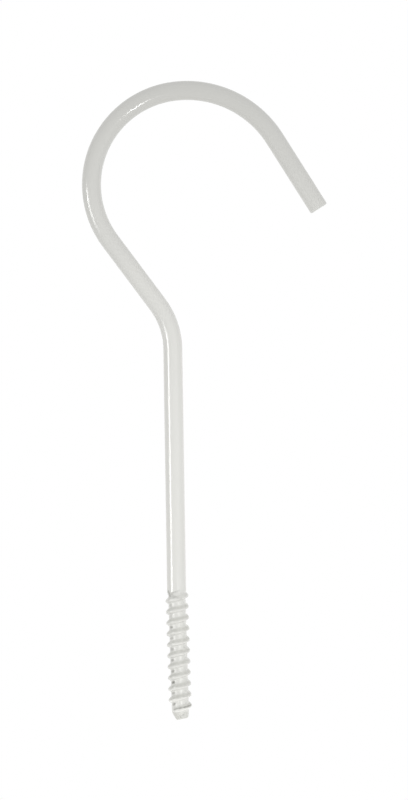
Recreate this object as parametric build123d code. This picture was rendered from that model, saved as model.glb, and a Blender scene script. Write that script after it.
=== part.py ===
from build123d import *
from math import radians, tan
import os

# A screw-in plant hook, bent from one length of coated round wire. It stands on its point: the screw runs
# up the Z axis, the shank goes on above it, and the crook opens towards +X in the XZ plane. The origin is
# on the screw's axis at the foot of the plain shank, where the timber's face lies when it is screwed home.
# Lengths are in millimetres, over the coating, and angles are in degrees.

# Wire
wire_diameter = 6.0
end_rounding = 0.6

# Shank and crook, in the order in which the wire is bent
lean_radius = 60.0
shank_lean = 0.9
shank_length = 74.4
offset_radius = 24.0
offset_turn = 35.9
slope_length = 24.8
back_radius = 29.5
back_turn = 118.35
nose_radius = 32.6
nose_turn = 66.1
end_length = 26.0

# Screw core, from the foot of the shank down to the end of the point
screw_length = 40.9
root_diameter = 5.4
shoulder_depth = 0.8
shoulder_length = 1.4

# Point: it tapers a little, has a bevel on the side away from the crook, and its cut leans
point_diameter = 4.7
point_taper_length = 2.6
bevel_height = 2.5
bevel_depth = 1.5
crop_lean = 9.0
point_rounding = 0.25

# Rolled thread, right-handed. Its first full crest lies below the foot of the shank, and its last above the
# end of the point, both on the side that the crook opens to.
crest_diameter = 7.2
thread_pitch = 3.45
ridge_crest_width = 0.8
upper_flank_width = 0.8
lower_flank_width = 0.45
first_crest_depth = 2.0
last_crest_height = 4.4
run_out_turn_share = 0.5
run_in_turn_share = 0.4
ridge_burial = 0.3
fade_burial = 0.1

wire_radius = wire_diameter / 2
root_radius = root_diameter / 2
crest_radius = crest_diameter / 2


# Bent wire: straight runs and tangent arcs, drawn in the plane of the hook and swept by the round section

def straight(before, length):
    return Line(before @ 1, before @ 1 + (before % 1) * length)


def bend(before, radius, turn):
    return JernArc(before @ 1, before % 1, radius, turn)


def bent_wire():
    lean = JernArc((0, 0), (0, 1), lean_radius, -shank_lean)
    shank = straight(lean, shank_length)
    offset = bend(shank, offset_radius, offset_turn)
    slope = straight(offset, slope_length)
    back = bend(slope, back_radius, -back_turn)
    nose = bend(back, nose_radius, -nose_turn)
    end = straight(nose, end_length)
    route = Plane.XZ * Curve([lean, shank, offset, slope, back, nose, end])
    wire = sweep(Circle(wire_radius), path=route)
    cut_end = wire.faces().sort_by_distance(route @ 1)[0]
    return fillet(cut_end.edges(), end_rounding)


# Screw core: the shank's foot, a shoulder, the root of the thread and the cropped point

def screw_core():
    shoulder_foot = shoulder_depth + shoulder_length
    profile = Polyline(
        (0, 0),
        (wire_radius, 0),
        (wire_radius, -shoulder_depth),
        (root_radius, -shoulder_foot),
        (root_radius, point_taper_length - screw_length),
        (point_diameter / 2, -screw_length),
        (0, -screw_length),
        close=True,
    )
    core = revolve(Plane.XZ * make_face(profile), axis=Axis.Z)
    bevel = Plane(
        origin=(-root_radius, 0, bevel_height - screw_length),
        z_dir=(-bevel_height, 0, -bevel_depth),
    )
    crop = Plane(
        origin=(bevel_depth - root_radius, 0, -screw_length),
        z_dir=(tan(radians(crop_lean)), 0, -1),
    )
    for cut in (bevel, crop):
        core = split(core, bisect_by=cut, keep=Keep.BOTTOM)
    cut_faces = core.faces().filter_by(GeomType.PLANE).sort_by(Axis.Z)[:2]
    return fillet(cut_faces.edges(), point_rounding)


# Rolled thread: a ridge on the root, full between its first and last crests, that fades out at both ends

def on_ridge(depth):
    turns = (first_crest_depth - depth) / thread_pitch
    return Pos(0, 0, -depth) * Rot(0, 0, turns * 360)


def ridge_section(top_radius):
    ridge_height = crest_radius - root_radius
    buried_share = 1 + ridge_burial / ridge_height
    half_crest = ridge_crest_width / 2
    outline = Polyline(
        (root_radius - ridge_burial, -half_crest - lower_flank_width * buried_share),
        (top_radius, -half_crest),
        (top_radius, half_crest),
        (root_radius - ridge_burial, half_crest + upper_flank_width * buried_share),
        close=True,
    )
    return Plane.XZ * make_face(outline)


def ridge(low_depth, low_top_radius, high_depth, high_top_radius):
    path = on_ridge(low_depth) * Helix(thread_pitch, low_depth - high_depth, root_radius)
    sections = [
        on_ridge(low_depth) * ridge_section(low_top_radius),
        on_ridge(high_depth) * ridge_section(high_top_radius),
    ]
    return sweep(sections, path=path, multisection=True, is_frenet=True)


def rolled_thread():
    last_crest_depth = screw_length - last_crest_height
    top_depth = first_crest_depth - run_out_turn_share * thread_pitch
    bottom_depth = last_crest_depth + run_in_turn_share * thread_pitch
    full = ridge(last_crest_depth, crest_radius, first_crest_depth, crest_radius)
    run_out = ridge(first_crest_depth, crest_radius, top_depth, wire_radius - fade_burial)
    run_in = ridge(bottom_depth, root_radius - fade_burial, last_crest_depth, crest_radius)
    return [full, run_out, run_in]


hook = bent_wire() + screw_core()
for length_of_ridge in rolled_thread():
    hook = hook + length_of_ridge

os.makedirs("parts", exist_ok=True)
export_step(hook, "parts/plant_hook.step")
print("plant_hook: solids", len(hook.solids()), "valid", hook.is_valid, "volume", round(hook.volume))
print("overall", hook.bounding_box())
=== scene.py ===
from math import atan2, hypot, cos, pi, radians, sin, tan

import bmesh
import bpy
from mathutils import Matrix, Vector, noise


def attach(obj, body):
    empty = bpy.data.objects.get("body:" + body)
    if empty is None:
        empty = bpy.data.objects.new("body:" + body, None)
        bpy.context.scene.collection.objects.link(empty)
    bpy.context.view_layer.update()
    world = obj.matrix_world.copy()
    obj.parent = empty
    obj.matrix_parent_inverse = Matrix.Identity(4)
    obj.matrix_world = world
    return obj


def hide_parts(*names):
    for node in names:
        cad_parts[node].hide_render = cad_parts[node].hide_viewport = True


# A coated plant hook: the bent wire, the thread rolled on its foot and the cropped point are one closed
# mesh. Its shapes are written in millimetres and turned into metres at the end. The studio is in metres.

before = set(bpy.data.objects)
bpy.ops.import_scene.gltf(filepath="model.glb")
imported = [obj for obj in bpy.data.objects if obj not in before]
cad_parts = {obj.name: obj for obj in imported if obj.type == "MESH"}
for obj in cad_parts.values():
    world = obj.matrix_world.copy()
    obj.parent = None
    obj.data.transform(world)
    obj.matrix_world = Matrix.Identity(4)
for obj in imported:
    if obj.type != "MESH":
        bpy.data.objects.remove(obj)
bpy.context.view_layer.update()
scene = bpy.context.scene
scene.view_settings.view_transform = "Standard"
print("frame loaded:", ", ".join(sorted(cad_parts)))

manyCorners = 20            # only the cut faces have as many


def clamp(value, low=0.0, high=1.0):
    return min(max(value, low), high)


# Rolled thread

thread = {
    "sides": 64,
    "rootRadius": 2.7,
    "crestRadius": 3.6,
    "pitch": 3.45,
    "crestWidth": 0.8,
    "upperFlank": 0.8,
    "lowerFlank": 0.45,
    "upperSlope": (0.3, 0.12),      # the crest falls off a little towards its upper edge: width and drop
    "softCorner": 0.16,     # the coating rounds the ridge
    "cornerSteps": 4,
    "longEdge": 0.2,        # edges of the outline that are cut into four
    "startTurn": -12,       # rolled longer than it is, and cut at both ends
    "turns": 14,
    "firstCrest": -2.0,     # heights of the full crests, on the side the crook opens to
    "lastCrest": -36.5,
    "runOut": 0.5,          # turns over which the ridge fades
    "runOutRadius": 2.9,
    "runOutEnd": 1.3,       # times that, until it stops sinking
    "runIn": 0.45,
    "runInRadius": 2.6,
    "runInEnd": 1.2,
    "runInPower": 1.5,      # it falls off late
    "buriedRadius": 2.4,    # where the ridge's flanks start, inside the wire
    "shankRadius": 3.0,
    "shoulderTop": -0.8,
    "shoulderFoot": -2.2,
    "topCut": -0.1,
    "footCut": -38.2,
    "unevenness": 0.03,
    "lumpSize": 1.3,
}


def coreRadius(height):
    # plain wire above the shoulder, thread root below it
    drop = clamp((thread["shoulderTop"] - height) / (thread["shoulderTop"] - thread["shoulderFoot"]))
    return thread["shankRadius"] + (thread["rootRadius"] - thread["shankRadius"]) * drop


def ridgeTop(turn):
    # radius of the crest, by turns above the first full crest
    turnsDown = (thread["lastCrest"] - thread["firstCrest"]) / thread["pitch"]
    if turn > 0:
        share = min(turn / thread["runOut"], thread["runOutEnd"])
        return thread["crestRadius"] + (thread["runOutRadius"] - thread["crestRadius"]) * share
    if turn < turnsDown:
        share = min((turnsDown - turn) / thread["runIn"], thread["runInEnd"]) ** thread["runInPower"]
        return thread["crestRadius"] + (thread["runInRadius"] - thread["crestRadius"]) * share
    return thread["crestRadius"]


def rollThread(bm):
    half = thread["crestWidth"] / 2
    pitch = thread["pitch"]
    root = pitch - thread["crestWidth"] - thread["upperFlank"] - thread["lowerFlank"]
    start = thread["firstCrest"] + thread["startTurn"] * pitch
    slopeWidth, slopeDrop = thread["upperSlope"]

    # one pitch of the outline, from the middle of a root to the middle of the next
    outline = [
        (thread["rootRadius"], -half - thread["lowerFlank"] - root / 2),
        (thread["rootRadius"], -half - thread["lowerFlank"]),
        (thread["crestRadius"], -half),
        (thread["crestRadius"], half - slopeWidth),
        (thread["crestRadius"] - slopeDrop, half),
        (thread["rootRadius"], half + thread["upperFlank"]),
        (thread["rootRadius"], half + thread["upperFlank"] + root / 2),
    ]
    corners = [bm.verts.new((radius, 0, start + height)) for radius, height in outline]
    for low, high in zip(corners, corners[1:]):
        bm.edges.new((low, high))
    bmesh.ops.bevel(bm, geom=corners[1:-1], offset=thread["softCorner"], offset_type="OFFSET",
                    segments=thread["cornerSteps"], profile=0.5, affect="VERTICES", material=-1)
    longEdges = [edge for edge in bm.edges if edge.calc_length() > thread["longEdge"]]
    bmesh.ops.subdivide_edges(bm, edges=longEdges, cuts=3)
    bmesh.ops.spin(bm, geom=bm.verts[:] + bm.edges[:], cent=(0, 0, 0), axis=(0, 0, 1),
                   dvec=(0, 0, pitch / thread["sides"]), angle=2 * pi, steps=thread["sides"])
    oneTurn = bm.verts[:] + bm.edges[:] + bm.faces[:]
    for turn in range(1, thread["turns"]):
        copied = bmesh.ops.duplicate(bm, geom=oneTurn)["geom"]
        copiedVerts = [vert for vert in copied if isinstance(vert, bmesh.types.BMVert)]
        bmesh.ops.translate(bm, verts=copiedVerts, vec=(0, 0, turn * pitch))
    bmesh.ops.remove_doubles(bm, verts=bm.verts[:], dist=0.01)

    # the ridge fades at both ends, and the core widens to the plain wire
    chainMiddle = (thread["upperFlank"] - thread["lowerFlank"]) / 2
    for vert in bm.verts:
        radius = hypot(vert.co.x, vert.co.y)
        around = atan2(vert.co.y, vert.co.x) / (2 * pi)
        above = (vert.co.z - thread["firstCrest"] - chainMiddle) / pitch - around
        turn = around + round(above)
        full = thread["crestRadius"] - thread["buriedRadius"]
        faded = (ridgeTop(turn) - thread["buriedRadius"]) / full
        ridge = thread["buriedRadius"] + (radius - thread["buriedRadius"]) * faded
        wanted = max(coreRadius(vert.co.z), ridge)
        threaded = clamp(min(thread["shoulderTop"] - vert.co.z, vert.co.z - thread["footCut"]))
        wanted += thread["unevenness"] * threaded * noise.noise(vert.co / thread["lumpSize"])
        vert.co.x *= wanted / radius
        vert.co.y *= wanted / radius

    for height, outwards in ((thread["topCut"], 1), (thread["footCut"], -1)):
        bmesh.ops.bisect_plane(bm, geom=bm.verts[:] + bm.edges[:] + bm.faces[:], dist=0.0001,
                               plane_co=(0, 0, height), plane_no=(0, 0, outwards), clear_outer=True)


# Bent wire, from the foot of the shank to the cut end of the crook

wire = {
    "radius": 3.0,
    "sides": 64,
    "endRounding": 0.6,
    "endSteps": 5,
    "route": [              # in the order of bending: a length, or a radius and a turn to the right
        {"radius": 60.0, "turn": 0.9, "steps": 2},
        {"length": 74.4, "steps": 36},
        {"radius": 24.0, "turn": -35.9, "steps": 24},
        {"length": 24.8, "steps": 12},
        {"radius": 29.5, "turn": 118.35, "steps": 84},
        {"radius": 32.6, "turn": 66.1, "steps": 50},
        {"length": 26.0, "steps": 13},
    ],
}


def bendWire(bm):
    made = bmesh.ops.create_circle(bm, cap_ends=False, radius=wire["radius"], segments=wire["sides"])
    ring = made["verts"] + bm.edges[:]
    place = Vector((0, 0, 0))
    heading = 0.0           # from straight up, towards the side the crook opens to
    for part in wire["route"]:
        ahead = Vector((sin(heading), 0, cos(heading)))
        aside = Vector((cos(heading), 0, -sin(heading)))
        if "length" in part:
            advance = ahead * part["length"]
            made = bmesh.ops.spin(bm, geom=ring, cent=place, axis=(0, 1, 0), angle=0,
                                  dvec=advance / part["steps"], steps=part["steps"])
            place = place + advance
        else:
            turn = radians(part["turn"])
            centre = place + aside * (part["radius"] if turn > 0 else -part["radius"])
            made = bmesh.ops.spin(bm, geom=ring, cent=centre, axis=(0, 1, 0), angle=turn,
                                  steps=part["steps"])
            place = centre + Matrix.Rotation(turn, 3, "Y") @ (place - centre)
            heading += turn
        ring = made["geom_last"]
    rim = [edge for edge in ring if isinstance(edge, bmesh.types.BMEdge)]
    bmesh.ops.contextual_create(bm, geom=rim)
    bmesh.ops.bevel(bm, geom=rim, offset=wire["endRounding"], offset_type="OFFSET",
                    segments=wire["endSteps"], profile=0.5, affect="EDGES", material=-1)


# Cropped point, with a bevel on the side away from the crook

point = {
    "sides": 64,
    "rows": 18,
    "top": -38.3,
    "bottom": -40.9,
    "topRadius": 2.7,
    "bottomRadius": 2.35,
    "bevelHeight": 2.5,
    "bevelDepth": 1.5,
    "cropLean": 9.0,
    "edgeRounding": 0.25,
    "edgeSteps": 4,
    "spare": 0.5,           # length of the tube below the crop
    "sideSlope": 0.4,       # steeper faces are its sides
    "dentPlace": (0.4, -2.55, -39.2),
    "dentRadius": 0.75,
    "dentDepth": 0.14,
}


def cropPoint(bm):
    # a tapering tube, cut by the bevel and by the crop, with the cut edges rounded
    made = bmesh.ops.create_circle(bm, cap_ends=False, radius=point["topRadius"], segments=point["sides"])
    bmesh.ops.translate(bm, verts=made["verts"], vec=(0, 0, point["top"]))
    taper = (point["topRadius"] - point["bottomRadius"]) / (point["top"] - point["bottom"])
    drop = point["top"] - point["bottom"] + point["spare"]
    foot = bmesh.ops.extrude_edge_only(bm, edges=bm.edges[:])["geom"]
    footVerts = [vert for vert in foot if isinstance(vert, bmesh.types.BMVert)]
    narrow = 1 - taper * drop / point["topRadius"]
    bmesh.ops.scale(bm, verts=footVerts, vec=(narrow, narrow, 1))
    bmesh.ops.translate(bm, verts=footVerts, vec=(0, 0, -drop))

    lean = tan(radians(point["cropLean"]))
    corner = Vector((point["bevelDepth"] - point["topRadius"], 0, point["bottom"]))
    cutFaces = []
    for outwards in ((-point["bevelHeight"], 0, -point["bevelDepth"]), (lean, 0, -1)):
        cut = bmesh.ops.bisect_plane(bm, geom=bm.verts[:] + bm.edges[:] + bm.faces[:], dist=0.01,
                                     plane_co=corner, plane_no=Vector(outwards).normalized(),
                                     clear_outer=True)
        rim = [edge for edge in cut["geom_cut"] if isinstance(edge, bmesh.types.BMEdge)]
        cutFaces += bmesh.ops.contextual_create(bm, geom=rim)["faces"]
    rounded = list(dict.fromkeys(edge for face in cutFaces for edge in face.edges))
    bmesh.ops.bevel(bm, geom=rounded, offset=point["edgeRounding"], offset_type="OFFSET",
                    segments=point["edgeSteps"], profile=0.5, affect="EDGES", clamp_overlap=True,
                    material=-1)

    # rows on the sides, to carry the dent and the wear
    for row in range(1, point["rows"]):
        sides = [face for face in bm.faces
                 if len(face.verts) < manyCorners and abs(face.normal.z) < point["sideSlope"]]
        geom = sides + list(dict.fromkeys(edge for face in sides for edge in face.edges))
        geom += list(dict.fromkeys(vert for face in sides for vert in face.verts))
        height = point["top"] - (point["top"] - point["bottom"]) * row / point["rows"]
        bmesh.ops.bisect_plane(bm, geom=geom, dist=0.01, plane_co=(0, 0, height), plane_no=(0, 0, 1))
    dent = Vector(point["dentPlace"])
    for vert in bm.verts:
        near = 1 - ((vert.co - dent).length / point["dentRadius"]) ** 2
        if near > 0:
            vert.co.y += point["dentDepth"] * near * near


# Painted shade on the thread: a grey band along the upper edge of the ridge for the shaded upper flank, and
# dark marks in the corners above it, under the end of the ridge and along the grooves; the coating is also
# thinner on the cropped point

shadeAndWear = {
    "edge": (0.45, 0.7),    # middle of the painted shade band, above the crest's middle, and half its width
    "lastEdge": (0.25, 0.3, 0.55),          # the same for the painted shadow under the end of the ridge, and how dark it is
    "point": 0.85,          # how thin the coating is on the cropped point
    "cornerHeight": 1.85,   # of the stains, above the crest's middle
    "cornerLength": 9,      # degrees to each side
    "cornerReach": 0.5,
    "cornerShade": {       # painted shade in the corners of the roots: azimuth from the camera's side, and a strength for each turn, from the top
        -47: [0.3, 0.1, 0.6, 0.38, 0.52, 0.5, 0.52, 1.12, 0.4, 0.8],
        128: [0.2, 0.35, 0.0, 0.3, 0.4, 0.1, 0.5, 0.35, 0.0, 0.4],
        -151: [0.0, 0.3, 0.4, 0.0, 0.2, 0.45, 0.15, 0.0, 0.5, 0.3],
    },
    "streaks": [            # painted shade along the grooves, and a dark line on the point: azimuth and height of one end and of the other, reach and strength
        (-58, -0.6, -50, -2.1, 0.55, 0.5),  # painted shade below the shank's foot, where the ridge runs out
        (-36, -1.3, 15, -0.3, 0.4, 0.28),
        (-36, -1.5, -14, -2.3, 0.45, 0.3),
        (-14, -2.3, 20, -2.8, 0.45, 0.25),
        (22, -39.3, 12, -39.6, 0.3, 0.5),   # dark line on the point, by its dent
        (12, -39.6, 2, -39.9, 0.3, 0.5),
    ],
    "raggedness": 0.4,
    "raggedSize": 0.9,
    "top": 0.5,             # no painted shade or wear above this height
    "fullRidge": 0.6,       # height of a ridge that takes its painted shade in full
    "leastTop": 0.4,        # share of the painted shade band that is left on the first turn
    "pointFade": 0.4,
    "perDegree": 0.05,      # length of a degree round the thread
    "streakZone": 3,        # streaks farther off than this in height are passed over
}


def paintShadeAndWear(bm):
    shadeAndThin = bm.verts.layers.float.new("paintedShadeAndThinCoat")
    shadeMarks = bm.verts.layers.float.new("paintedShadeAndMarks")
    pitch = thread["pitch"]
    turnsDown = (thread["lastCrest"] - thread["firstCrest"]) / pitch
    middle = (thread["upperFlank"] - thread["lowerFlank"]) / 2
    streaks = list(shadeAndWear["streaks"])
    for azimuth, strengths in shadeAndWear["cornerShade"].items():
        for number, strength in enumerate(strengths):
            turn = -1 - number + (azimuth - 90) / 360
            height = thread["firstCrest"] + turn * pitch + shadeAndWear["cornerHeight"]
            rise = shadeAndWear["cornerLength"] / 360 * pitch
            streaks.append((azimuth - shadeAndWear["cornerLength"], height - rise,
                            azimuth + shadeAndWear["cornerLength"], height + rise, shadeAndWear["cornerReach"], strength))

    shadeBandMiddle, shadeBandReach = shadeAndWear["edge"]
    lastMiddle, lastReach, lastShade = shadeAndWear["lastEdge"]
    for vert in bm.verts:
        if vert.co.z > shadeAndWear["top"]:
            continue
        around = atan2(vert.co.y, vert.co.x) / (2 * pi)
        turn = around + round((vert.co.z - thread["firstCrest"] - middle) / pitch - around)
        height = vert.co.z - thread["firstCrest"] - turn * pitch
        ridge = clamp((ridgeTop(turn) - coreRadius(vert.co.z)) / shadeAndWear["fullRidge"])
        darkened = clamp((thread["firstCrest"] - vert.co.z) / pitch, low=shadeAndWear["leastTop"])
        cropped = shadeAndWear["point"] * clamp((thread["footCut"] - vert.co.z) / shadeAndWear["pointFade"])
        # painted shade band on the ridge's upper edge, and the thinner coating on the cropped point
        vert[shadeAndThin] = max(ridge * darkened * (1 - ((height - shadeBandMiddle) / shadeBandReach) ** 2), cropped, 0.0)
        shadeDark = 0.0
        # painted shadow under the end of the ridge
        if turn < turnsDown + 0.1:
            band = max(1 - ((height - lastMiddle) / lastReach) ** 2, 0.0)
            shadeDark = lastShade * min(ridge * 3, 1.0) * band

        # painted shade in the corners and grooves, and the dark line on the point, measured on the unrolled
        # surface
        ragged = 1 + shadeAndWear["raggedness"] * noise.noise(vert.co / shadeAndWear["raggedSize"])
        azimuth = (around * 360 + 270) % 360 - 180
        for fromAzimuth, fromHeight, toAzimuth, toHeight, reach, strength in streaks:
            if abs(vert.co.z - fromHeight) > shadeAndWear["streakZone"]:
                continue
            along = Vector(((toAzimuth - fromAzimuth) * shadeAndWear["perDegree"], toHeight - fromHeight))
            here = Vector(((azimuth - fromAzimuth) * shadeAndWear["perDegree"], vert.co.z - fromHeight))
            share = clamp(here.dot(along) / along.length_squared)
            near = 1 - ((here - along * share).length / (reach * ragged)) ** 2
            if near > 0:
                shadeDark = max(shadeDark, strength * near)
        vert[shadeMarks] = shadeDark


def rimAt(bm, height):
    rims = [edge for edge in bm.edges if edge.is_boundary]
    return [edge for edge in rims if all(abs(vert.co.z - height) < 0.001 for vert in edge.verts)]


def makeHook(material):
    bm = bmesh.new()
    for makePart in (rollThread, bendWire, cropPoint):
        part = bmesh.new()
        makePart(part)
        print(makePart.__name__, "made", len(part.faces), "faces")
        partMesh = bpy.data.meshes.new("part")
        part.to_mesh(partMesh)
        part.free()
        bm.from_mesh(partMesh)
        bpy.data.meshes.remove(partMesh)
    bmesh.ops.bridge_loops(bm, edges=rimAt(bm, thread["topCut"]) + rimAt(bm, 0.0))
    bmesh.ops.bridge_loops(bm, edges=rimAt(bm, thread["footCut"]) + rimAt(bm, point["top"]))
    bmesh.ops.remove_doubles(bm, verts=bm.verts[:], dist=0.0005)
    bmesh.ops.recalc_face_normals(bm, faces=bm.faces[:])
    paintShadeAndWear(bm)
    bmesh.ops.scale(bm, verts=bm.verts[:], vec=(0.001, 0.001, 0.001))       # to metres
    for face in bm.faces:
        face.smooth = len(face.verts) < manyCorners     # the cut faces stay flat
    openEdges = sum(1 for edge in bm.edges if not edge.is_manifold)
    print("hook closed:", len(bm.faces), "faces,", openEdges, "open edges")
    mesh = bpy.data.meshes.new("plantHook")
    bm.to_mesh(mesh)
    bm.free()
    mesh.materials.append(material)
    hook = bpy.data.objects.new("plantHook", mesh)
    scene.collection.objects.link(hook)
    return hook


# Gloss white coating

coating = {
    "white": (0.79, 0.787, 0.752, 1),
    "dull": (0.765, 0.765, 0.737, 1),
    # grey of the painted shade band on the ridge, and of the thin coating on the point
    "shadeAndThin": (0.64, 0.64, 0.6, 1),
    # dark of the painted shade in corners and grooves, and of the line on the point
    "shadeDark": (0.1, 0.1, 0.08, 1),
    "roughness": (0.09, 0.14),
    "threadRoughness": 0.16,    # more than that, on the thread
    "threadFade": -0.004,       # height at which it has come in
    "ior": 1.5,
    "cloudScale": 70,
    "patchScale": 1100,
    "patchRange": (0.25, 0.6),
    "leastPatch": 0.35,
    "peelScale": 900,
    "peelStrength": 0.04,
    "peelHeight": 0.00006,
}


def addNoise(nodes, links, place, scale, detail):
    texture = nodes.new("ShaderNodeTexNoise")
    texture.inputs["Scale"].default_value = scale
    texture.inputs["Detail"].default_value = detail
    links.new(place.outputs["Object"], texture.inputs["Vector"])
    return texture


def coatHook():
    material = bpy.data.materials.new("glossWhiteCoating")
    material.use_nodes = True
    nodes = material.node_tree.nodes
    links = material.node_tree.links
    shader = nodes["Principled BSDF"]
    shader.inputs["IOR"].default_value = coating["ior"]
    place = nodes.new("ShaderNodeTexCoord")

    cloud = addNoise(nodes, links, place, coating["cloudScale"], 3)      # slow drift of the white
    tone = nodes.new("ShaderNodeMix")
    tone.data_type = "RGBA"
    tone.inputs["A"].default_value = coating["white"]
    tone.inputs["B"].default_value = coating["dull"]
    links.new(cloud.outputs["Fac"], tone.inputs["Factor"])

    patches = addNoise(nodes, links, place, coating["patchScale"], 2)    # breaks up the painted shade and the wear
    broken = nodes.new("ShaderNodeMapRange")
    broken.inputs["From Min"].default_value, broken.inputs["From Max"].default_value = coating["patchRange"]
    broken.inputs["To Min"].default_value = coating["leastPatch"]
    links.new(patches.outputs["Fac"], broken.inputs["Value"])
    # the painted shade band with the thin coating on the point, then the dark painted shade with the line
    # on the point, mixed over the white
    for layer, colour in (("paintedShadeAndThinCoat", "shadeAndThin"), ("paintedShadeAndMarks", "shadeDark")):
        amount = nodes.new("ShaderNodeAttribute")
        amount.attribute_name = layer
        share = nodes.new("ShaderNodeMath")
        share.operation = "MULTIPLY"
        links.new(amount.outputs["Fac"], share.inputs[0])
        links.new(broken.outputs["Result"], share.inputs[1])
        darkened = nodes.new("ShaderNodeMix")
        darkened.data_type = "RGBA"
        darkened.inputs["B"].default_value = coating[colour]
        links.new(share.outputs["Value"], darkened.inputs["Factor"])
        links.new(tone.outputs["Result"], darkened.inputs["A"])
        tone = darkened
    links.new(tone.outputs["Result"], shader.inputs["Base Color"])

    gloss = nodes.new("ShaderNodeMapRange")
    gloss.inputs["To Min"].default_value, gloss.inputs["To Max"].default_value = coating["roughness"]
    links.new(cloud.outputs["Fac"], gloss.inputs["Value"])
    axes = nodes.new("ShaderNodeSeparateXYZ")
    links.new(place.outputs["Object"], axes.inputs["Vector"])
    rolled = nodes.new("ShaderNodeMapRange")         # the rolled thread is duller than the drawn wire
    rolled.inputs["From Min"].default_value = 0.0
    rolled.inputs["From Max"].default_value = coating["threadFade"]
    rolled.inputs["To Max"].default_value = coating["threadRoughness"]
    links.new(axes.outputs["Z"], rolled.inputs["Value"])
    rough = nodes.new("ShaderNodeMath")
    rough.operation = "ADD"
    links.new(gloss.outputs["Result"], rough.inputs[0])
    links.new(rolled.outputs["Result"], rough.inputs[1])
    links.new(rough.outputs["Value"], shader.inputs["Roughness"])

    peel = addNoise(nodes, links, place, coating["peelScale"], 2)        # faint orange peel of the coating
    bump = nodes.new("ShaderNodeBump")
    bump.inputs["Strength"].default_value = coating["peelStrength"]
    bump.inputs["Distance"].default_value = coating["peelHeight"]
    links.new(peel.outputs["Fac"], bump.inputs["Height"])
    links.new(bump.outputs["Normal"], shader.inputs["Normal"])
    return material


hook = makeHook(coatHook())
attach(hook, "root")
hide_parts("plant_hook")
print("hook placed")


# Studio: a pale floor below the point, soft light all round and three lamps that draw bright lines

studio = {
    "floorHeight": -0.095,
    "floorSize": 3.0,
    "floorColour": (0.85, 0.85, 0.84, 1),
    "ambient": 0.615,
    "shadowPatch": (0.02, 0.07),    # distances from the axis between which the floor turns white
    "patchWhite": 0.5,
}

# Each lamp: azimuth from the camera's side towards +X, distance and height of its middle, its two sides,
# its strength, and in degrees how wide its beam is, how far it is aimed up, how far its right side leans
# down and how far to the left of the screw's axis it is aimed. The soft lights reach the shank more than
# the crook.
softLights = {
    "floorLight": (0, 0, -0.08, 0.08, 0.08, 0.6, 120, 90, 0, 0),
    "frontLeft": (-40, 0.3, 0.035, 0.18, 0.18, 0.235, 60, 0, 0, 0),
    "frontRight": (40, 0.3, 0.035, 0.18, 0.18, 0.345, 60, 0, 0, 0),
    "backLeft": (-140, 0.3, 0.02, 0.18, 0.18, 0.34, 70, 0, 0, 0),
    "backRight": (140, 0.3, 0.02, 0.18, 0.18, 0.34, 70, 0, 0, 0),
}

glintLights = {             # seen as bright lines in the gloss
    "stripLight": (-57, 0.5, 0.043, 0.19, 0.23, 0.36, 40, 2, 11, 0),
    "lowLamp": (19, 0.43, -0.06, 0.04, 0.045, 1.8, 40, 0, 0, 0),
    "crookLamp": (14.9, 0.099, 0.102, 0.05, 0.0042, 0.62, 32, 26, 54, 5.2),   # near, to light little else
}


def placeLight(name, row):
    azimuth, distance, height, width, tall, strength, beam, rise, lean, swing = row
    data = bpy.data.lights.new(name, "AREA")
    data.shape = "RECTANGLE"
    data.size = width
    data.size_y = tall
    data.spread = radians(beam)
    data.energy = strength * 4 * width * tall       # as bright at any size
    lamp = bpy.data.objects.new(name, data)
    scene.collection.objects.link(lamp)
    turn = radians(azimuth)
    lamp.location = (sin(turn) * distance, -cos(turn) * distance, height)
    facing = Matrix.Rotation(turn + radians(swing), 3, "Z")
    raised = facing @ Matrix.Rotation(pi / 2 + radians(rise), 3, "X")
    lamp.rotation_euler = (raised @ Matrix.Rotation(-radians(lean), 3, "Z")).to_euler()
    lamp.visible_camera = False
    return lamp


def lightHook():
    for name, row in softLights.items():
        placeLight(name, row).visible_glossy = False
    for name, row in glintLights.items():
        placeLight(name, row).visible_diffuse = False
    world = bpy.data.worlds.new("whiteStudio")
    scene.world = world
    world.use_nodes = True
    nodes = world.node_tree.nodes
    links = world.node_tree.links
    fill = nodes["Background"]
    fill.inputs["Color"].default_value = (1, 1, 1, 1)
    fill.inputs["Strength"].default_value = studio["ambient"]
    white = nodes.new("ShaderNodeBackground")
    white.inputs["Color"].default_value = (1, 1, 1, 1)
    white.inputs["Strength"].default_value = 1
    seen = seenRays(nodes, links)
    mix = nodes.new("ShaderNodeMixShader")
    links.new(seen, mix.inputs["Fac"])
    links.new(fill.outputs["Background"], mix.inputs[1])
    links.new(white.outputs["Background"], mix.inputs[2])
    links.new(mix.outputs["Shader"], nodes["World Output"].inputs["Surface"])


def seenRays(nodes, links):
    # what the camera sees, straight, in a gloss or through glass
    rays = nodes.new("ShaderNodeLightPath")
    total = rays.outputs["Is Camera Ray"]
    for name in ("Is Glossy Ray", "Is Transmission Ray"):
        add = nodes.new("ShaderNodeMath")
        add.operation = "MAXIMUM"
        links.new(total, add.inputs[0])
        links.new(rays.outputs[name], add.inputs[1])
        total = add.outputs["Value"]
    return total


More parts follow.
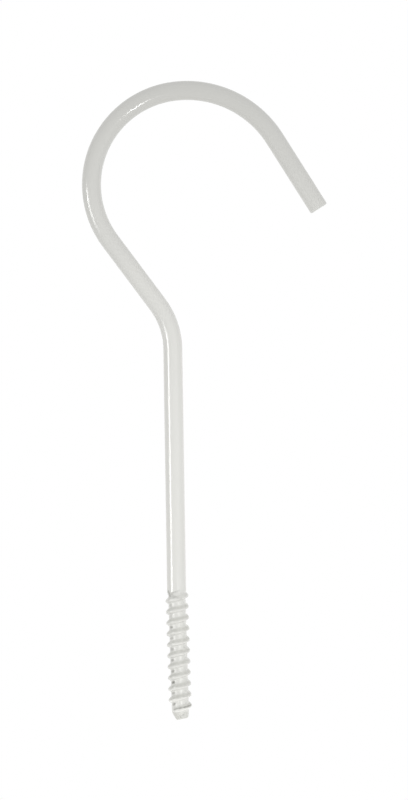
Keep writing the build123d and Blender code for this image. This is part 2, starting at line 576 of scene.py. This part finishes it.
def layFloor():
    bm = bmesh.new()
    bmesh.ops.create_grid(bm, x_segments=4, y_segments=4, size=studio["floorSize"])
    bmesh.ops.translate(bm, verts=bm.verts[:], vec=(0, 0, studio["floorHeight"]))
    mesh = bpy.data.meshes.new("floor")
    bm.to_mesh(mesh)
    bm.free()
    floor = bpy.data.objects.new("floor", mesh)
    scene.collection.objects.link(floor)
    material = bpy.data.materials.new("paleFloor")
    material.use_nodes = True
    material.cycles.emission_sampling = "NONE"       # it is only seen as white, and lights nothing
    nodes = material.node_tree.nodes
    links = material.node_tree.links
    nodes.remove(nodes["Principled BSDF"])
    matte = nodes.new("ShaderNodeBsdfDiffuse")
    matte.inputs["Color"].default_value = studio["floorColour"]
    white = nodes.new("ShaderNodeEmission")
    white.inputs["Color"].default_value = (1, 1, 1, 1)
    white.inputs["Strength"].default_value = 1
    place = nodes.new("ShaderNodeTexCoord")
    flat = nodes.new("ShaderNodeVectorMath")         # distance from the screw's axis along the floor
    flat.operation = "MULTIPLY"
    flat.inputs[1].default_value = (1, 1, 0)
    links.new(place.outputs["Object"], flat.inputs[0])
    away = nodes.new("ShaderNodeVectorMath")
    away.operation = "LENGTH"
    links.new(flat.outputs["Vector"], away.inputs[0])
    fade = nodes.new("ShaderNodeMapRange")           # the shadow's patch fades into the white round it
    fade.interpolation_type = "SMOOTHSTEP"
    fade.inputs["From Min"].default_value, fade.inputs["From Max"].default_value = studio["shadowPatch"]
    fade.inputs["To Min"].default_value = studio["patchWhite"]
    fade.inputs["To Max"].default_value = 1.0
    links.new(away.outputs["Value"], fade.inputs["Value"])
    seen = nodes.new("ShaderNodeMath")
    seen.operation = "MULTIPLY"
    links.new(seenRays(nodes, links), seen.inputs[0])
    links.new(fade.outputs["Result"], seen.inputs[1])
    mix = nodes.new("ShaderNodeMixShader")
    links.new(seen.outputs["Value"], mix.inputs["Fac"])
    links.new(matte.outputs["BSDF"], mix.inputs[1])
    links.new(white.outputs["Emission"], mix.inputs[2])
    links.new(mix.outputs["Shader"], nodes["Material Output"].inputs["Surface"])
    mesh.materials.append(material)


lightHook()
layFloor()
print("studio lit")


# Camera, square on to the plane of the hook and rolled a little

photoView = {
    "target": (0.01045, 0.0, 0.05899),
    "fieldHeight": 0.25096,     # of the hook's plane, over the picture's height
    "lens": 150.0,
    "roll": 1.8,
}


def placeCamera():
    data = bpy.data.cameras.new("photoCamera")
    data.sensor_width = 36.0
    data.lens = photoView["lens"]
    camera = bpy.data.objects.new("photoCamera", data)
    scene.collection.objects.link(camera)
    distance = photoView["fieldHeight"] * data.lens / data.sensor_width
    camera.location = Vector(photoView["target"]) - Vector((0, distance, 0))
    camera.rotation_euler = (pi / 2, radians(photoView["roll"]), 0)
    scene.camera = camera


placeCamera()
print("camera placed")
